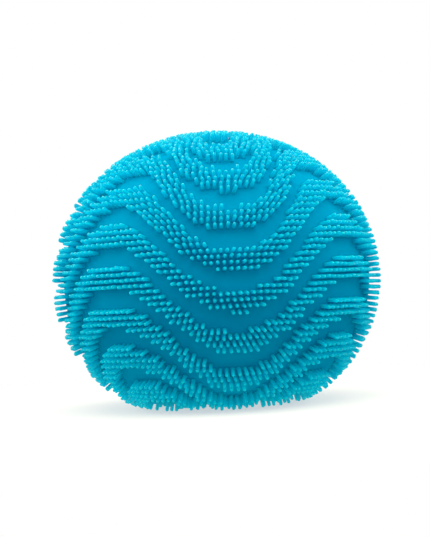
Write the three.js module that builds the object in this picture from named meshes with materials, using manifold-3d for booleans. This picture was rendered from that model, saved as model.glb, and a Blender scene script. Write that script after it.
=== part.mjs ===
// Squishy stress ball: a soft moulded skin, sagged on its foot, with wavy bands of bristles all over it,
// filled with dough through a hole in the foot that a soft plug closes.
// Millimetres, +Z up. The origin is on the floor under the middle of the ball, and the front faces -Y.

import * as THREE from "three";
import { mergeVertices } from "three/addons/utils/BufferGeometryUtils.js";
import loadManifold from "manifold-3d";

// Skin, measured on its outside between the bristles
const BELLY_RADIUS = 44.4; // at its widest
const BELLY_HEIGHT = 36.2; // of the widest place above the floor
const CROWN_RISE = 41; // from the belly to the top
const CROWN_FULLNESS = 2.05; // 2 is an ellipse, more is fuller
const FOOT_RADIUS = 23.3; // to the middle of the rounded heel
const HEEL_BLEND = 4; // the heel is rounded from this far below the foot's level to this far above it
const WALL = 1.6;

// Bristles, drawn fewer and thicker than the real ones, in one row to a band
const BRISTLE_LENGTH = 3.3;
const BRISTLE_ROOT_RADIUS = 1.1;
const BRISTLE_TIP_RADIUS = 0.75;
const BRISTLE_SIDES = 3;
const BRISTLE_SPACING = 4.8; // round the ball, along a band
const FOOT_TRIM = 0.5; // cut off the bristles that the ball stands on

// Wavy bands, measured in level: the drop from the top, as it looks from the side
const WAVES = 4; // round the ball
const WAVE_HEIGHT = 8.9; // of a crest above the middle of its band
const WAVE_FADE = 20; // how far the waves take to die out towards the top and the plug
const BAND_PITCH = 10.4;
const BAND_WIDTH = 5.4;
const PARTING_LEVEL = 46.2; // bare wave where the crown of the skin ends and its base begins
const LEAST_DROP = 0.74; // at least this share of the skin's length counts as drop, where it lies flat

// Filling hole and its plug, in the middle of the foot
const HOLE_RADIUS = 3.5;
const NECK_WALL = 3.2; // of the collar inside the skin, round the hole
const NECK_HEIGHT = 5; // of that collar above the skin's inside
const HEAD_RADIUS = 5.5; // of the recess for the plug's head
const HEAD_DEPTH = 1.3;
const LIP_OVERHANG = 1.2; // of the plug's lip past the hole
const LIP_HEIGHT = 2.4;

const CLEARANCE = 0.3; // between pieces that touch

// Facets
const SEGMENTS = 32; // round the skin's inside and the parting, a whole number to each half wave
const CROWN_RINGS = 4; // on the skin's inside and on the filling
const BASE_RINGS = 6;
const ROUND_SEGMENTS = 24; // round the hole and the plug
const FIRST_CORNER = -0.75 * Math.PI; // of a bristle, towards the lower left of its cell
const LEVEL_STEPS = 400; // along the outline, to find where a level lies

const wasm = await loadManifold();
wasm.setup();

const footHeight = BRISTLE_LENGTH - FOOT_TRIM;
// The round underside runs through the heel, and would end this far below the belly if it weren't flattened
const sagDepth = (BELLY_HEIGHT - footHeight) / Math.sqrt(1 - (FOOT_RADIUS / BELLY_RADIUS) ** 2);

// The skin's outline from the top, past the belly, to the middle of the foot, as radius and height
class SkinOutline extends THREE.Curve {
  arcLengthDivisions = 800;

  getPoint(share) {
    const angle = Math.PI * (0.5 - share);
    const power = angle > 0 ? 2 / CROWN_FULLNESS : 1;
    const radius = BELLY_RADIUS * Math.cos(angle) ** power;
    const lift = Math.abs(Math.sin(angle)) ** power;
    if (angle > 0) {
      return new THREE.Vector2(radius, BELLY_HEIGHT + CROWN_RISE * lift);
    }
    return new THREE.Vector2(radius, flattened(BELLY_HEIGHT - sagDepth * lift));
  }
}

// The floor presses the underside flat, with a rounded heel
function flattened(height) {
  const rise = height - footHeight;
  if (rise >= HEEL_BLEND) {
    return height;
  }
  const turn = Math.max(rise + HEEL_BLEND, 0);
  return footHeight + turn ** 2 / (4 * HEEL_BLEND);
}

const outline = new SkinOutline();
const outlineLength = outline.getLength();

// The way out of the skin, as radius and height
function skinNormal(arc) {
  const tangent = outline.getTangentAt(arc / outlineLength);
  return new THREE.Vector2(-tangent.y, tangent.x);
}

// A place or direction given as radius and height, turned to an azimuth, from the front towards +X
function around(flat, azimuth) {
  return new THREE.Vector3(flat.x * Math.sin(azimuth), -flat.x * Math.cos(azimuth), flat.y);
}

// A place so deep under the skin's outside, so far along its outline from the top
function skinPoint(arc, azimuth, depth) {
  const flat = outline.getPointAt(arc / outlineLength);
  flat.addScaledVector(skinNormal(arc), -depth);
  return around(flat, azimuth);
}

// The level that each even step along the outline reaches
const stepLength = outlineLength / LEVEL_STEPS;
const stepLevels = [0];
for (let step = 1; step <= LEVEL_STEPS; step += 1) {
  const drop = skinNormal((step - 0.5) * stepLength).x;
  stepLevels.push(stepLevels.at(-1) + Math.max(drop, LEAST_DROP) * stepLength);
}
const footLevel = stepLevels.at(-1);

// How far along the outline a level lies
function levelArc(level) {
  const step = THREE.MathUtils.clamp(stepLevels.findIndex((reached) => reached >= level), 1, LEVEL_STEPS);
  const share = (level - stepLevels[step - 1]) / (stepLevels[step] - stepLevels[step - 1]);
  return (step - 1 + share) * stepLength;
}

// How far along the outline the wave of a given level runs at an azimuth: it dips at the front and dies out
// towards both ends. Its height depends on where it runs, so the place is found in a few passes.
function waveArc(level, azimuth) {
  let place = level;
  for (let pass = 0; pass < 12; pass += 1) {
    const fromEnd = Math.min(place, footLevel - place);
    const height = WAVE_HEIGHT * THREE.MathUtils.smoothstep(fromEnd, 0, WAVE_FADE);
    place = level + height * Math.cos(WAVES * azimuth);
  }
  return levelArc(place);
}

// A closed surface that is put together from loops of corners
class Surface {
  points = [];
  triangles = [];

  // Corners are numbered in the order that they are added
  add(point) {
    const corner = this.points.length;
    this.points.push(point);
    return corner;
  }

  // A wavy ring at a level and a depth, from the front towards +X
  ring(level, depth, count) {
    return Array.from({ length: count }, (_, index) => {
      const azimuth = (2 * Math.PI * index) / count;
      return this.add(skinPoint(waveArc(level, azimuth), azimuth, depth));
    });
  }

  // The end of the surface on the axis
  pole(arc, depth) {
    const { z } = skinPoint(arc, 0, depth);
    return [this.add(new THREE.Vector3(0, 0, z))];
  }

  // Joins two loops that start side by side. Seen from outside, the first is left of the way they run.
  // Where both could go on, the shorter edge is drawn. A loop of one corner is the end of the surface.
  stitch(left, right) {
    const leftSteps = left.length > 1 ? left.length : 0;
    const rightSteps = right.length > 1 ? right.length : 0;
    let a = 0;
    let b = 0;
    while (a < leftSteps || b < rightSteps) {
      const here = left[a % left.length];
      const ahead = left[(a + 1) % left.length];
      const there = right[b % right.length];
      const beyond = right[(b + 1) % right.length];
      const lead = (b + 1) * leftSteps - (a + 1) * rightSteps;
      const leftIsShorter = this.distance(ahead, there) < this.distance(here, beyond);
      if (a < leftSteps && (b === rightSteps || lead > 0 || (lead === 0 && leftIsShorter))) {
        this.triangles.push(here, there, ahead);
        a += 1;
      } else {
        this.triangles.push(here, there, beyond);
        b += 1;
      }
    }
  }

  distance(first, second) {
    return this.points[first].distanceTo(this.points[second]);
  }

  // Joins each loop to the next and returns the last
  chain(loops) {
    return loops.reduce((previous, loop) => {
      this.stitch(previous, loop);
      return loop;
    });
  }

  // A bristle square to the skin: a tapering prism with a flat tip. Returns the loop of its root.
  bristle(arc, azimuth) {
    const outward = around(skinNormal(arc), azimuth);
    const sideways = new THREE.Vector3(Math.cos(azimuth), Math.sin(azimuth), 0);
    const upwards = new THREE.Vector3().crossVectors(outward, sideways);
    const loop = (depth, radius) =>
      Array.from({ length: BRISTLE_SIDES }, (_, corner) => {
        const angle = FIRST_CORNER + (2 * Math.PI * corner) / BRISTLE_SIDES;
        const point = skinPoint(arc, azimuth, depth);
        point.addScaledVector(sideways, radius * Math.cos(angle));
        return this.add(point.addScaledVector(upwards, radius * Math.sin(angle)));
      });
    const root = loop(0, BRISTLE_ROOT_RADIUS);
    const tip = loop(-BRISTLE_LENGTH, BRISTLE_TIP_RADIUS);
    this.stitch(tip, root);
    const [first, ...others] = tip;
    others.slice(1).forEach((corner, before) => this.triangles.push(first, others[before], corner));
    return root;
  }

  // Bands of cells, each with a bristle in its middle, one below another from a loop. Returns the lowest.
  bands(levels, from) {
    return levels.reduce((above, level) => {
      const girth = 2 * Math.PI * outline.getPointAt(levelArc(level) / outlineLength).x;
      const count = WAVES * Math.max(1, Math.round(girth / BRISTLE_SPACING / WAVES));
      const upper = this.ring(level - BAND_WIDTH / 2, 0, count);
      const lower = this.ring(level + BAND_WIDTH / 2, 0, count);
      this.stitch(above, upper);
      for (let cell = 0; cell < count; cell += 1) {
        const next = (cell + 1) % count;
        const azimuth = (2 * Math.PI * (cell + 0.5)) / count;
        const root = this.bristle(waveArc(level, azimuth), azimuth);
        this.stitch(root, [lower[cell], lower[next], upper[next], upper[cell]]);
      }
      return lower;
    }, from);
  }

  geometry() {
    return new THREE.BufferGeometry().setFromPoints(this.points).setIndex(this.triangles);
  }
}

// A round body on the Z axis, from a profile of radius and height that starts and ends on the axis
function turned(profile) {
  const points = profile.map(([radius, height]) => new THREE.Vector2(radius, height));
  return new THREE.LatheGeometry(points, ROUND_SEGMENTS).rotateX(Math.PI / 2);
}

// A geometry as a solid that can be joined and cut, and back
function solid(geometry) {
  geometry.deleteAttribute("normal");
  geometry.deleteAttribute("uv");
  const merged = mergeVertices(geometry);
  const vertProperties = merged.attributes.position.array;
  const triVerts = new Uint32Array(merged.index.array);
  return new wasm.Manifold(new wasm.Mesh({ numProp: 3, vertProperties, triVerts }));
}

function geometryOf(body) {
  const mesh = body.getMesh();
  const geometry = new THREE.BufferGeometry();
  geometry.setAttribute("position", new THREE.BufferAttribute(mesh.vertProperties, 3));
  geometry.setIndex(new THREE.BufferAttribute(mesh.triVerts, 1));
  geometry.computeVertexNormals();
  return geometry;
}

// Bands go up and down from the bare wave at the parting, as many as leave the top and the plug's head free
const crownBands = [];
for (let level = PARTING_LEVEL - BAND_PITCH / 2; level > BAND_WIDTH; level -= BAND_PITCH) {
  crownBands.unshift(level);
}
const baseBands = [];
const lastLevel = footLevel - HEAD_RADIUS - BAND_WIDTH;
for (let level = PARTING_LEVEL + BAND_PITCH / 2; level < lastLevel; level += BAND_PITCH) {
  baseBands.push(level);
}

// Levels in even steps from one to just before another
function levelsBefore(from, to, steps) {
  return Array.from({ length: steps }, (_, step) => from + ((to - from) * step) / steps);
}

// Crown of the skin: all of it above the parting, with one bristle on the very top
function skinCrown() {
  const skin = new Surface();
  const edge = PARTING_LEVEL - CLEARANCE / 2;
  const lowest = skin.bands(crownBands, skin.bristle(0, 0));
  const levels = levelsBefore(edge, 0, CROWN_RINGS);
  const inside = levels.map((level) => skin.ring(level, WALL, SEGMENTS));
  skin.chain([lowest, skin.ring(edge, 0, SEGMENTS), ...inside, skin.pole(0, WALL)]);
  return skin.geometry();
}

const neckTop = footHeight + WALL + NECK_HEIGHT;

// Base of the skin: all of it below the parting, with the collar round the filling hole
function skinBase() {
  const skin = new Surface();
  const edge = PARTING_LEVEL + CLEARANCE / 2;
  const levels = levelsBefore(edge, footLevel, BASE_RINGS).reverse();
  const inside = levels.map((level) => skin.ring(level, WALL, SEGMENTS));
  const rim = skin.chain([skin.pole(outlineLength, WALL), ...inside, skin.ring(edge, 0, SEGMENTS)]);
  skin.chain([skin.bands(baseBands, rim), skin.pole(outlineLength, 0)]);

  const neckRadius = HOLE_RADIUS + NECK_WALL;
  const neckFoot = footHeight + WALL / 2;
  const neck = turned([
    [0, neckFoot],
    [neckRadius, neckFoot],
    [neckRadius, neckTop],
    [0, neckTop],
  ]);
  const hole = turned([
    [0, 0],
    [HEAD_RADIUS, 0],
    [HEAD_RADIUS, footHeight + HEAD_DEPTH],
    [HOLE_RADIUS, footHeight + HEAD_DEPTH],
    [HOLE_RADIUS, neckTop + NECK_HEIGHT],
    [0, neckTop + NECK_HEIGHT],
  ]);
  const reach = 4 * (BELLY_RADIUS + BRISTLE_LENGTH);
  const underFloor = new THREE.BoxGeometry(reach, reach, BRISTLE_LENGTH);
  underFloor.translate(0, 0, -BRISTLE_LENGTH / 2);
  const body = solid(skin.geometry()).add(solid(neck));
  return geometryOf(body.subtract(solid(hole)).subtract(solid(underFloor)));
}

const lipTop = neckTop + CLEARANCE + LIP_HEIGHT;

// Plug: a head flush with the foot, a stem through the collar and a lip that holds behind it
function fillPlug() {
  const headTop = footHeight + HEAD_DEPTH - CLEARANCE;
  const stemRadius = HOLE_RADIUS - CLEARANCE;
  return turned([
    [0, footHeight],
    [HEAD_RADIUS - CLEARANCE, footHeight],
    [HEAD_RADIUS - CLEARANCE, headTop],
    [stemRadius, headTop],
    [stemRadius, neckTop + CLEARANCE],
    [HOLE_RADIUS + LIP_OVERHANG, neckTop + CLEARANCE],
    [stemRadius, lipTop],
    [0, lipTop],
  ]);
}

// Filling: all the room inside the skin, round the collar and the plug's lip
function filling() {
  const mass = new Surface();
  const depth = WALL + CLEARANCE;
  const upper = levelsBefore(PARTING_LEVEL, 0, CROWN_RINGS).reverse();
  const lower = levelsBefore(PARTING_LEVEL, footLevel, BASE_RINGS);
  const rings = [...upper, ...lower.slice(1)].map((level) => mass.ring(level, depth, SEGMENTS));
  mass.chain([mass.pole(0, depth), ...rings, mass.pole(outlineLength, depth)]);

  const collarRoom = HOLE_RADIUS + NECK_WALL + CLEARANCE;
  const lipRoom = HOLE_RADIUS + LIP_OVERHANG + CLEARANCE;
  const recess = turned([
    [0, 0],
    [collarRoom, 0],
    [collarRoom, neckTop + CLEARANCE],
    [lipRoom, neckTop + CLEARANCE],
    [lipRoom, lipTop + CLEARANCE],
    [0, lipTop + CLEARANCE],
  ]);
  return geometryOf(solid(mass.geometry()).subtract(solid(recess)));
}

const softRubber = new THREE.MeshStandardMaterial({ color: 0x00a9ce, roughness: 0.45, metalness: 0 });
const plugRubber = new THREE.MeshStandardMaterial({ color: 0x0095b8, roughness: 0.5, metalness: 0 });
const dough = new THREE.MeshStandardMaterial({ color: 0xe4e1d4, roughness: 0.85, metalness: 0 });

function piece(name, geometry, material) {
  const mesh = new THREE.Mesh(geometry, material);
  mesh.name = name;
  return mesh;
}

const stressBall = new THREE.Group();
stressBall.add(
  piece("skin_crown", skinCrown(), softRubber),
  piece("skin_base", skinBase(), softRubber),
  piece("filling", filling(), dough),
  piece("fill_plug", fillPlug(), plugRubber),
);

export default stressBall;
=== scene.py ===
"""Squishy stress ball: a sagging ball of soft rubber with wavy bands of bristles, filled with dough.

Metres, +Z up. The ball stands on the floor at the origin, and its front faces -Y.
"""

import math
import random
from bisect import bisect_left

import bpy
from mathutils import Matrix, Vector, noise


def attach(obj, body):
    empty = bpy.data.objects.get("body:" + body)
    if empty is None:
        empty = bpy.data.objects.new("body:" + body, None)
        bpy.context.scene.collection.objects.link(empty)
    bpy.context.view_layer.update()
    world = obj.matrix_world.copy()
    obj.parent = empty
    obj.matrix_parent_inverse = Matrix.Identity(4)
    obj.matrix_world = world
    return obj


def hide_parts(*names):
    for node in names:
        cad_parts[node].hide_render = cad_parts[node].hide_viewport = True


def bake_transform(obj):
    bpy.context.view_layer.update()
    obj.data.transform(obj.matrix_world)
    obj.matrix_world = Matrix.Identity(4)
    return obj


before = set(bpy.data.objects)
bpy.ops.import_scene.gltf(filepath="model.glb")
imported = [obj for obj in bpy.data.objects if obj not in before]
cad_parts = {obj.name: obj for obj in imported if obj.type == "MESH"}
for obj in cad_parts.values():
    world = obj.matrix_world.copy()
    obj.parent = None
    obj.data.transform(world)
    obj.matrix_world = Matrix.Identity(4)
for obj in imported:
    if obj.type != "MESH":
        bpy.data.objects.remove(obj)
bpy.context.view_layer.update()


# Skin: one hollow moulding of soft thermoplastic rubber, about 1.6 mm thick. It is poured full of dough
# through a hole in its foot, so it sags into a bun that is flat underneath. A collar is moulded on its
# inside, round the hole, for the plug to grip.
MM = 0.001
BELLY_RADIUS = 44.4 * MM
BELLY_HEIGHT = 36.2 * MM
CROWN_RISE = 41 * MM
CROWN_FULLNESS = 2.05  # 2 is an ellipse, more is fuller
FOOT_RADIUS = 23.3 * MM
FOOT_HEIGHT = 2.8 * MM  # of the skin under the ball, which stands on its bristles
HEEL_BLEND = 4 * MM
WALL = 1.6 * MM
HOLE_RADIUS = 3.5 * MM
COLLAR_WALL = 3.2 * MM
COLLAR_HEIGHT = 5 * MM
HEAD_RADIUS = 5.5 * MM  # of the recess for the plug's head
HEAD_DEPTH = 1.3 * MM
EDGE_ROUND = 0.3 * MM
EDGE_STEPS = 3
SHARP_EDGE = math.radians(50)  # an edge that turns by more than this is rounded
MERGE_GAP = 0.001 * MM
SKIN_STEP = 1.2 * MM  # between the rings of the mesh, along the outline
SKIN_SEGMENTS = 128

# The round underside runs through the heel, and would end this far below the belly if it weren't flattened
SAG_DEPTH = (BELLY_HEIGHT - FOOT_HEIGHT) / math.sqrt(1 - (FOOT_RADIUS / BELLY_RADIUS) ** 2)


def outline_point(share):
    """Radius and height of the skin's outside, at a share of the way from its top to its foot's middle."""
    angle = math.pi * (0.5 - share)
    upper = angle > 0
    power = 2 / CROWN_FULLNESS if upper else 1
    radius = BELLY_RADIUS * max(math.cos(angle), 0) ** power
    lift = abs(math.sin(angle)) ** power
    if upper:
        return Vector((radius, BELLY_HEIGHT + CROWN_RISE * lift))
    rise = BELLY_HEIGHT - SAG_DEPTH * lift - FOOT_HEIGHT
    if rise < HEEL_BLEND:
        rise = max(rise + HEEL_BLEND, 0) ** 2 / (4 * HEEL_BLEND)
    return Vector((radius, FOOT_HEIGHT + rise))


OUTLINE_STEPS = 1000
outline = [outline_point(step / OUTLINE_STEPS) for step in range(OUTLINE_STEPS + 1)]
outline_arcs = [0.0]
for before, after in zip(outline, outline[1:]):
    outline_arcs.append(outline_arcs[-1] + (after - before).length)
outline_length = outline_arcs[-1]


def skin_place(arc):
    """Radius and height on the skin's outside, so far along its outline from the top, and the way out."""
    step = min(max(bisect_left(outline_arcs, arc), 1), OUTLINE_STEPS)
    before, after = outline[step - 1], outline[step]
    along = (arc - outline_arcs[step - 1]) / (outline_arcs[step] - outline_arcs[step - 1])
    run = (after - before).normalized()
    return before.lerp(after, along), Vector((-run.y, run.x))


def turned(name, profile, segments):
    """A body of revolution: a point is extruded along a profile of radius and height, which is spun."""
    bpy.ops.object.select_all(action="DESELECT")
    bpy.ops.mesh.primitive_plane_add(size=MM)
    body = bpy.context.object
    body.name = name
    bpy.ops.object.mode_set(mode="EDIT")
    bpy.ops.mesh.merge(type="CENTER")
    place = Vector((0, 0))
    for number, point in enumerate(profile):
        step = Vector(point) - place
        move = {"value": (step.x, 0, step.y)}
        if number == 0:
            bpy.ops.transform.translate(**move)
        else:
            bpy.ops.mesh.extrude_region_move(TRANSFORM_OT_translate=move)
        place = Vector(point)
    bpy.ops.mesh.select_all(action="SELECT")
    bpy.ops.mesh.spin(steps=segments, angle=2 * math.pi, center=(0, 0, 0), axis=(0, 0, 1))
    bpy.ops.mesh.select_all(action="SELECT")
    bpy.ops.mesh.remove_doubles(threshold=MERGE_GAP)
    bpy.ops.mesh.normals_make_consistent(inside=False)
    bpy.ops.object.mode_set(mode="OBJECT")
    bevel = body.modifiers.new("rounded edges", "BEVEL")
    bevel.width = EDGE_ROUND
    bevel.segments = EDGE_STEPS
    bevel.limit_method = "ANGLE"
    bevel.angle_limit = SHARP_EDGE
    bpy.ops.object.modifier_apply(modifier=bevel.name)
    bpy.ops.object.shade_smooth()
    return body


collar_radius = HOLE_RADIUS + COLLAR_WALL
collar_top = FOOT_HEIGHT + WALL + COLLAR_HEIGHT
head_seat = FOOT_HEIGHT + HEAD_DEPTH
outer_length = outline_length - HEAD_RADIUS
outer_rings = round(outer_length / SKIN_STEP)
outside = [skin_place(outer_length * ring / outer_rings)[0] for ring in range(outer_rings + 1)]
inner_rings = round((outline_length - collar_radius) / (2 * SKIN_STEP))
inside = []
for ring in range(inner_rings + 1):
    place, way_out = skin_place((outline_length - collar_radius) * ring / inner_rings)
    inside.append(place - way_out * WALL)
outside[0].x = 0
inside[0].x = 0
hole = [
    (HEAD_RADIUS, head_seat),
    (HOLE_RADIUS, head_seat),
    (HOLE_RADIUS, collar_top),
    (collar_radius, collar_top),
]
skin = turned("skin", [*outside, *hole, *reversed(inside)], SKIN_SEGMENTS)


def linear(colour):
    """An sRGB hex colour as the linear colour that a shader takes."""
    shares = [int(colour[place:place + 2], 16) / 255 for place in (1, 3, 5)]
    return [*(s / 12.92 if s <= 0.04045 else ((s + 0.055) / 1.055) ** 2.4 for s in shares), 1.0]


def add_node(tree, kind, sockets=None, **settings):
    """Adds a node with its settings, and sets or links its sockets."""
    made = tree.nodes.new(kind)
    for name, value in settings.items():
        setattr(made, name, value)
    for socket, value in (sockets or {}).items():
        if isinstance(value, bpy.types.NodeSocket):
            tree.links.new(value, made.inputs[socket])
        else:
            made.inputs[socket].default_value = value
    return made


def new_material(name):
    """A new material with its node tree and its main shader."""
    material = bpy.data.materials.new(name)
    material.use_nodes = True
    tree = material.node_tree
    return material, tree, tree.nodes["Principled BSDF"]


def two_tone(tree, share, deep, pale):
    """A colour between two sRGB hex colours, as the share says at each place."""
    tones = {"Factor": share, "A": linear(deep), "B": linear(pale)}
    return add_node(tree, "ShaderNodeMix", tones, data_type="RGBA").outputs["Result"]


# Soft rubber from a matt mould: it has no sheen, and light sinks in a little, so that it looks milky. It is
# faintly uneven in tone and finely rippled. The ripples are drawn coarser than they are, so that they show.
SKIN_DEEP = "#0085B3"
SKIN_PALE = "#008EBB"
RUBBER_DEPTHS = (0.2, 0.8, 1.0)  # how deep red, green and blue go, compared with each other
SKIN_GLOW_DEPTH = 1.5 * MM
MOTTLE = 9 * MM
RIPPLE = 1.2 * MM
RIPPLE_HEIGHT = 0.1 * MM

skin_rubber, tree, shader = new_material("moulded_soft_rubber")
shader.inputs["Roughness"].default_value = 0.6
shader.inputs["Specular IOR Level"].default_value = 0.0
shader.inputs["IOR"].default_value = 1.5
shader.inputs["Subsurface Weight"].default_value = 0.15
shader.inputs["Subsurface Radius"].default_value = RUBBER_DEPTHS
shader.inputs["Subsurface Scale"].default_value = SKIN_GLOW_DEPTH
where = add_node(tree, "ShaderNodeTexCoord").outputs["Object"]
mottle = add_node(tree, "ShaderNodeTexNoise", {"Vector": where, "Scale": 1 / MOTTLE, "Detail": 3.0})
tone = two_tone(tree, mottle.outputs["Fac"], SKIN_DEEP, SKIN_PALE)
ripple = add_node(tree, "ShaderNodeTexNoise", {"Vector": where, "Scale": 1 / RIPPLE, "Detail": 2.0})
bump = add_node(
    tree,
    "ShaderNodeBump",
    {"Height": ripple.outputs["Fac"], "Strength": 0.25, "Distance": RIPPLE_HEIGHT},
)
tree.links.new(tone, shader.inputs["Base Color"])
tree.links.new(bump.outputs["Normal"], shader.inputs["Normal"])
skin.data.materials.append(skin_rubber)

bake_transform(skin)
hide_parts("skin_crown", "skin_base")


# Bristles: thousands of soft spikes, moulded in one with the skin. They stand in level rows, and the rows
# are broken into bands that run in waves round the ball, with bare skin between.
BRISTLE_LENGTH = 3.3 * MM
BRISTLE_RADIUS = 0.53 * MM
BRISTLE_SIDES = 7
BRISTLE_ROOT = 0.3 * MM  # sunk into the skin
# Height and radius of the rings of a bristle above the skin, as shares of its length and its radius
BRISTLE_RINGS = ((0.1, 1.0), (0.85, 0.92), (0.95, 0.78), (1.0, 0.4))
ROOT_FLARE = 1.3
BRISTLE_CURLS = (0.0, 0.08 * MM, 0.16 * MM)  # how far the tip bends sideways
BRISTLE_SPACING = 1.64 * MM  # along a row
# Rows and bands are measured in level: the drop from the top, as it looks from the side
LEAST_DROP = 0.85  # at least this share of the skin's length counts as drop, where it lies flat
ROW_PITCH = 1.56 * MM
FIRST_ROW = 0.7 * ROW_PITCH
WAVES = 4
WAVE_HEIGHT = 9.15 * MM
WAVE_FULLNESS = 0.04  # makes dips and crests fuller than those of a sine
WAVE_FADE = 20 * MM  # how far the waves take to die out towards the top and the plug
BAND_PITCH = 10.4 * MM
BAND_WIDTH = 5.75 * MM
CROWN_SLANT = 0.8  # share of its slant that widens a band of the crown: 1 keeps its width across its run
PARTING_LEVEL = 51.1 * MM  # bare wave between the bands of the crown and those of the base
LEAN = math.radians(1)  # of one bristle by itself
CLUMP_LEAN = math.radians(2)  # of neighbours together
CLUMP_SIZE = 6 * MM
RISE_LEFT = 0.7  # of a bristle's way up or down, because it leans to the level, the way the mould opens
LENGTH_SPREAD = 0.04
TOP_LEAN = math.radians(6)  # added to the lean of one bristle by itself, right at the top
TOP_SHORTENING = 0.2  # bristles get this much shorter towards the top
FLOOR_SHORTENING = 0.6  # at most, of a bristle that the floor would stop, for a ragged fringe
FLOOR_GAP = 0.2 * MM
SEED = 12


def modelled_bristle(curl):
    """One bristle along +Z, extruded ring by ring from its root to its rounded tip."""
    bpy.ops.object.select_all(action="DESELECT")
    bpy.ops.mesh.primitive_circle_add(
        vertices=BRISTLE_SIDES, radius=BRISTLE_RADIUS * ROOT_FLARE, fill_type="NGON"
    )
    bristle = bpy.context.object
    bpy.ops.object.mode_set(mode="EDIT")
    bpy.ops.transform.translate(value=(0, 0, -BRISTLE_ROOT))
    height, radius, bend = -BRISTLE_ROOT, BRISTLE_RADIUS * ROOT_FLARE, 0
    for height_share, radius_share in BRISTLE_RINGS:
        next_height = BRISTLE_LENGTH * height_share
        next_radius = BRISTLE_RADIUS * radius_share
        next_bend = curl * height_share**2
        move = {"value": (next_bend - bend, 0, next_height - height)}
        bpy.ops.mesh.extrude_region_move(TRANSFORM_OT_translate=move)
        scale = next_radius / radius
        bpy.ops.transform.resize(value=(scale, scale, 1))
        height, radius, bend = next_height, next_radius, next_bend
    bpy.ops.mesh.select_all(action="SELECT")
    bpy.ops.mesh.normals_make_consistent(inside=False)
    bpy.ops.object.mode_set(mode="OBJECT")
    bpy.ops.object.shade_smooth()
    along = bristle.data.attributes.new("along", "FLOAT", "POINT")
    for vertex, share in zip(bristle.data.vertices, along.data):
        share.value = min(max(vertex.co.z / BRISTLE_LENGTH, 0), 1)
    return bristle


outline_levels = [0.0]
for before, after in zip(outline, outline[1:]):
    drop = max(before.y - after.y, LEAST_DROP * (after - before).length)
    outline_levels.append(outline_levels[-1] + drop)
foot_level = outline_levels[-1]


def level_arc(level):
    """How far along the outline a level lies."""
    step = min(max(bisect_left(outline_levels, level), 1), OUTLINE_STEPS)
    share = (level - outline_levels[step - 1]) / (outline_levels[step] - outline_levels[step - 1])
    return outline_arcs[step - 1] + share * (outline_arcs[step] - outline_arcs[step - 1])


def band_offset(level, azimuth, radius):
    """How far a place on the skin is from the middle of its band, and whether it is on the crown."""
    share = min(level / WAVE_FADE, (foot_level - level) / WAVE_FADE, 1)
    height = WAVE_HEIGHT * share**2 * (3 - 2 * share)
    wave = math.cos(WAVES * azimuth) - WAVE_FULLNESS * math.cos(3 * WAVES * azimuth)
    unwaved = level - height * wave / (1 - WAVE_FULLNESS)
    on_crown = unwaved < PARTING_LEVEL
    bands = (unwaved - PARTING_LEVEL) / BAND_PITCH - 0.5
    slant = CROWN_SLANT * height * WAVES * math.sin(WAVES * azimuth) / radius if on_crown else 0
    return abs(bands - round(bands)) * BAND_PITCH / math.hypot(1, slant), on_crown


# The draws and the noise are both seeded, so that every run plants the same bristles
draw = random.Random(SEED)
noise.seed_set(SEED)


def bristle_pose(arc, azimuth):
    """Where a bristle stands and how it leans, turns and stretches, as a matrix."""
    place, way_out = skin_place(arc)
    outward = Vector((math.sin(azimuth), -math.cos(azimuth), 0))
    root = outward * place.x + Vector((0, 0, place.y))
    way = outward * way_out.x + Vector((0, 0, way_out.y))
    lean = noise.noise_vector(root / CLUMP_SIZE) * CLUMP_LEAN
    upright = max(way.z, 0) ** 2
    spread = LEAN + TOP_LEAN * upright
    lean += Vector((draw.gauss(0, spread), draw.gauss(0, spread), draw.gauss(0, spread)))
    way.z *= RISE_LEFT
    way = (way.normalized() + lean).normalized()
    length = BRISTLE_LENGTH * (1 + draw.uniform(-LENGTH_SPREAD, LENGTH_SPREAD))
    length *= 1 - TOP_SHORTENING * upright
    drop = root.z - FLOOR_GAP
    if -way.z * length > drop:
        length = drop / -way.z * (1 - FLOOR_SHORTENING * math.sqrt(draw.random()))
    turn = Matrix.Rotation(draw.uniform(0, 2 * math.pi), 4, "Z")
    stretch = Matrix.Diagonal((1, 1, length / BRISTLE_LENGTH, 1))
    return Matrix.Translation(root) @ way.to_track_quat("Z", "Y").to_matrix().to_4x4() @ turn @ stretch


bristle_models = [modelled_bristle(curl) for curl in BRISTLE_CURLS]
planted = {"crown_bristles": [], "base_bristles": []}
rows = int((foot_level - HEAD_RADIUS) / ROW_PITCH)
for row in range(rows):
    level = FIRST_ROW + row * ROW_PITCH
    arc = level_arc(level)
    radius = skin_place(arc)[0].x
    count = max(round(2 * math.pi * radius / BRISTLE_SPACING), 1)
    start = draw.random()
    for step in range(count):
        azimuth = 2 * math.pi * (step + start) / count
        offset, on_crown = band_offset(level, azimuth, radius)
        if offset > BAND_WIDTH / 2:
            continue
        bristle = draw.choice(bristle_models).copy()
        bristle.matrix_world = bristle_pose(arc, azimuth)
        planted["crown_bristles" if on_crown else "base_bristles"].append(bristle)

# The same rubber where it is thin: light goes right through a bristle, so that each one glows in the
# shadow of its neighbours, and the smooth tip catches a small glint.
# Painted light: each bristle is painted darker at its root, as painted shade between the bristles, and
# paler at its tip, as painted light on it
BRISTLE_ROOT_SHADE = "#00C8E8"  # at the root
BRISTLE_TIP_LIGHT = "#00CAF0"  # at the tip
BRISTLE_GLOW = "#00E7F7"  # of light that has come through one side
SHARE_THROUGH = 0.55
BRISTLE_GLOW_DEPTH = 2 * MM

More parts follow.
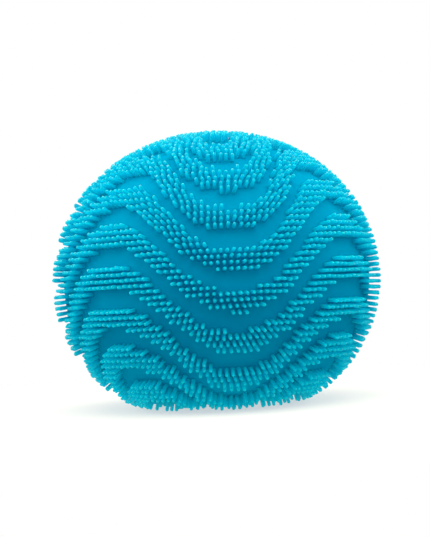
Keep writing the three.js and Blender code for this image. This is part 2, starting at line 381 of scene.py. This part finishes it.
bristle_rubber, tree, shader = new_material("moulded_soft_rubber_thin")
shader.inputs["Roughness"].default_value = 0.25
shader.inputs["Specular IOR Level"].default_value = 0.8
shader.inputs["IOR"].default_value = 1.5
shader.inputs["Subsurface Weight"].default_value = 1.0
shader.inputs["Subsurface Radius"].default_value = RUBBER_DEPTHS
shader.inputs["Subsurface Scale"].default_value = BRISTLE_GLOW_DEPTH
along = add_node(tree, "ShaderNodeAttribute", attribute_name="along")
tone = two_tone(tree, along.outputs["Fac"], BRISTLE_ROOT_SHADE, BRISTLE_TIP_LIGHT)
tree.links.new(tone, shader.inputs["Base Color"])
through = add_node(tree, "ShaderNodeBsdfTranslucent", {"Color": linear(BRISTLE_GLOW)})
thin = add_node(
    tree,
    "ShaderNodeMixShader",
    {0: SHARE_THROUGH, 1: shader.outputs["BSDF"], 2: through.outputs["BSDF"]},
)
tree.links.new(thin.outputs["Shader"], tree.nodes["Material Output"].inputs["Surface"])

for name, bristles in planted.items():
    bpy.ops.object.select_all(action="DESELECT")
    for bristle in bristles:
        bpy.context.collection.objects.link(bristle)
        bristle.select_set(True)
    bristles[0].data = bristles[0].data.copy()
    bpy.context.view_layer.objects.active = bristles[0]
    bpy.ops.object.join()
    bpy.ops.object.transform_apply()
    piece = bpy.context.object
    piece.name = name
    piece.data.materials.append(bristle_rubber)
    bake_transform(piece)
    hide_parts("skin_crown" if name == "crown_bristles" else "skin_base")
for model in bristle_models:
    bpy.data.objects.remove(model)


# Filling: soft kneaded dough, poured in until the skin is full. It lies against all of the skin's inside,
# round the collar and over the plug.
CLEARANCE = 0.3 * MM
LIP_OVERHANG = 1.2 * MM
LIP_HEIGHT = 2.4 * MM
DOUGH_SEGMENTS = 64

lip_bottom = collar_top + CLEARANCE
lip_top = lip_bottom + LIP_HEIGHT
collar_room = collar_radius + CLEARANCE
lip_room = HOLE_RADIUS + LIP_OVERHANG + CLEARANCE
dough_rings = inner_rings // 2
mass = []
for ring in range(dough_rings + 1):
    place, way_out = skin_place((outline_length - collar_room) * ring / dough_rings)
    mass.append(place - way_out * (WALL + CLEARANCE))
mass[0].x = 0
recess = [
    (collar_room, lip_bottom),
    (lip_room, lip_bottom),
    (lip_room, lip_top + CLEARANCE),
    (0, lip_top + CLEARANCE),
]
filling = turned("dough_filling", [*mass, *recess], DOUGH_SEGMENTS)

# Kneaded flour dough: matt and off-white, with a mealy grain.
DOUGH_PALE = "#E9E6DA"
DOUGH_DEEP = "#D8D3C2"
GRAIN = 2.5 * MM

dough, tree, shader = new_material("kneaded_dough")
shader.inputs["Roughness"].default_value = 0.8
where = add_node(tree, "ShaderNodeTexCoord").outputs["Object"]
grain = add_node(tree, "ShaderNodeTexNoise", {"Vector": where, "Scale": 1 / GRAIN, "Detail": 4.0})
tone = two_tone(tree, grain.outputs["Fac"], DOUGH_DEEP, DOUGH_PALE)
tree.links.new(tone, shader.inputs["Base Color"])
filling.data.materials.append(dough)
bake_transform(filling)
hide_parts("filling")


# Fill plug: a soft moulded stopper, pushed into the hole from below once the ball is full. Its lip springs
# out behind the collar and holds it.
PLUG_SEGMENTS = 64
stem_radius = HOLE_RADIUS - CLEARANCE
head_radius = HEAD_RADIUS - CLEARANCE
head_top = head_seat - CLEARANCE
plug_profile = [
    (0, FOOT_HEIGHT),
    (head_radius, FOOT_HEIGHT),
    (head_radius, head_top),
    (stem_radius, head_top),
    (stem_radius, lip_bottom),
    (HOLE_RADIUS + LIP_OVERHANG, lip_bottom),
    (stem_radius, lip_top),
    (0, lip_top),
]
plug = turned("fill_stopper", plug_profile, PLUG_SEGMENTS)

# A firmer grade of the skin's rubber: the same blue, a little deeper, with a dull sheen.
PLUG_DEEP = "#007FA8"
PLUG_PALE = "#0089B2"

plug_rubber, tree, shader = new_material("moulded_firm_rubber")
shader.inputs["Roughness"].default_value = 0.6
shader.inputs["Specular IOR Level"].default_value = 0.2
where = add_node(tree, "ShaderNodeTexCoord").outputs["Object"]
mottle = add_node(tree, "ShaderNodeTexNoise", {"Vector": where, "Scale": 1 / MOTTLE, "Detail": 3.0})
tone = two_tone(tree, mottle.outputs["Fac"], PLUG_DEEP, PLUG_PALE)
tree.links.new(tone, shader.inputs["Base Color"])
plug.data.materials.append(plug_rubber)
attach(plug, "base")
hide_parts("fill_plug")


# Studio: a sheet of white paper that fades into a white room and keeps the ball's shadow. It throws back
# less light than it shows, so that the ball gets darker downwards, and it is lit from below right under the
# ball, as a light table is, so that the fringe isn't black.
FLOOR_SIZE = 6.0
PAPER_SHOWN = "#F2F2F2"
PAPER_THROWN = "#A8A8A8"
WHITE = "#FFFFFF"
LAMP_TINT = "#FFFFDE"
TABLE_GLOW = 0.8
TABLE_EDGE = (35 * MM, 60 * MM)  # from the middle, where the glow starts to fade and where it ends
FADE_EDGE = (50 * MM, 160 * MM)  # where the paper starts to fade and where it is lost in white
LEAST_FADE = 0.55
ROOM_LIGHT = 0.8
ROOM_SHINE = 0.15  # what shows of the room in a glint

bpy.ops.object.select_all(action="DESELECT")
bpy.ops.mesh.primitive_plane_add(size=FLOOR_SIZE)
floor = bpy.context.object
floor.name = "floor"
paper = bpy.data.materials.new("white_paper")
paper.use_nodes = True
tree = paper.node_tree
tree.nodes.clear()
rays = add_node(tree, "ShaderNodeLightPath")
lit = two_tone(tree, rays.outputs["Is Camera Ray"], PAPER_THROWN, PAPER_SHOWN)
matt = add_node(tree, "ShaderNodeBsdfDiffuse", {"Color": lit})
where = add_node(tree, "ShaderNodeTexCoord").outputs["Object"]
reach = add_node(tree, "ShaderNodeVectorMath", {0: where}, operation="LENGTH")
near = add_node(
    tree,
    "ShaderNodeMapRange",
    {
        "Value": reach.outputs["Value"],
        "From Min": TABLE_EDGE[0],
        "From Max": TABLE_EDGE[1],
        "To Min": TABLE_GLOW,
        "To Max": 0.0,
    },
    interpolation_type="SMOOTHSTEP",
)
table = add_node(
    tree, "ShaderNodeEmission", {"Color": linear(LAMP_TINT), "Strength": near.outputs["Result"]}
)
room = add_node(tree, "ShaderNodeEmission", {"Color": linear(WHITE), "Strength": 1.0})
far = add_node(
    tree,
    "ShaderNodeMapRange",
    {
        "Value": reach.outputs["Value"],
        "From Min": FADE_EDGE[0],
        "From Max": FADE_EDGE[1],
        "To Min": LEAST_FADE,
    },
    interpolation_type="SMOOTHSTEP",
)
faded = add_node(
    tree,
    "ShaderNodeMath",
    {0: rays.outputs["Is Camera Ray"], 1: far.outputs["Result"]},
    operation="MULTIPLY",
)
lit_table = add_node(tree, "ShaderNodeAddShader", {0: matt.outputs[0], 1: table.outputs[0]})
shown = add_node(
    tree,
    "ShaderNodeMixShader",
    {0: rays.outputs["Is Camera Ray"], 1: lit_table.outputs[0], 2: matt.outputs[0]},
)
surface = add_node(
    tree,
    "ShaderNodeMixShader",
    {0: faded.outputs[0], 1: shown.outputs[0], 2: room.outputs[0]},
)
add_node(tree, "ShaderNodeOutputMaterial", {"Surface": surface.outputs[0]})
floor.data.materials.append(paper)
floor.visible_glossy = False

scene = bpy.context.scene
studio = bpy.data.worlds.new("studio")
scene.world = studio
studio.use_nodes = True
tree = studio.node_tree
tree.nodes.clear()
rays = add_node(tree, "ShaderNodeLightPath")
plain = add_node(
    tree,
    "ShaderNodeMapRange",
    {"Value": rays.outputs["Is Camera Ray"], "To Min": ROOM_LIGHT, "To Max": 1.0},
)
strength = add_node(
    tree,
    "ShaderNodeMapRange",
    {"Value": rays.outputs["Is Glossy Ray"], "To Min": plain.outputs["Result"], "To Max": ROOM_SHINE},
)
white = add_node(
    tree, "ShaderNodeBackground", {"Color": linear(WHITE), "Strength": strength.outputs["Result"]}
)
add_node(tree, "ShaderNodeOutputWorld", {"Surface": white.outputs[0]})


LAMP_TARGET = Vector((0, 0, 40 * MM))


def soft_box(name, place, size, power):
    """A square soft box that faces the ball."""
    lamp = bpy.data.lights.new(name, "AREA")
    lamp.color = linear(LAMP_TINT)[:3]
    lamp.size = size
    lamp.energy = power
    box = bpy.data.objects.new(name, lamp)
    scene.collection.objects.link(box)
    box.location = place
    box.rotation_euler = (LAMP_TARGET - box.location).to_track_quat("-Z", "Y").to_euler()
    return box


# A wide soft box above the front gives most of the light. One from behind only makes the glints on the
# upper tips, and one on each side lifts the sides.
front_box = soft_box("front_box", place=(0, -0.4, 0.8), size=1.0, power=9.0)
front_box.visible_glossy = False
glint_box = soft_box("glint_box", place=(-0.16, 0.28, 0.76), size=0.5, power=6.5)
glint_box.visible_diffuse = False
soft_box("left_box", place=(-0.8, 0.2, 0.35), size=0.7, power=5.0)
soft_box("right_box", place=(0.8, 0.2, 0.35), size=0.7, power=4.4)

# Camera: close to the floor and level with the ball's lower half, a little to the left of a dip of the
# waves and rolled, so that the rows rise to the right.
PICTURE_WIDTH = 430
PICTURE_HEIGHT = 537
PIXEL = 0.293 * MM  # at the ball's middle
CAMERA_DISTANCE = 366 * MM
CAMERA_HEIGHT = 31.4 * MM
HORIZON_ROW = 297
MIDDLE_COLUMN = 216
CAMERA_TURN = math.radians(-6.5)  # from the front towards +X
CAMERA_ROLL = math.radians(-3)
SENSOR_SIZE = 36  # in millimetres, along the taller side of the picture

camera = bpy.data.objects.new("camera", bpy.data.cameras.new("camera"))
scene.collection.objects.link(camera)
scene.camera = camera
camera.data.sensor_width = SENSOR_SIZE
camera.data.lens = SENSOR_SIZE * CAMERA_DISTANCE / (PICTURE_HEIGHT * PIXEL)
back = Vector((math.sin(CAMERA_TURN), -math.cos(CAMERA_TURN), 0))
camera.location = back * CAMERA_DISTANCE + Vector((0, 0, CAMERA_HEIGHT))
tilt = math.atan((HORIZON_ROW - PICTURE_HEIGHT / 2) * PIXEL / CAMERA_DISTANCE)
pan = math.atan((MIDDLE_COLUMN - PICTURE_WIDTH / 2) * PIXEL / CAMERA_DISTANCE)
aim = (
    Matrix.Rotation(CAMERA_TURN + pan, 3, "Z")
    @ Matrix.Rotation(math.pi / 2 + tilt, 3, "X")
    @ Matrix.Rotation(CAMERA_ROLL, 3, "Z")
)
camera.rotation_euler = aim.to_euler()

scene.view_settings.view_transform = "Standard"
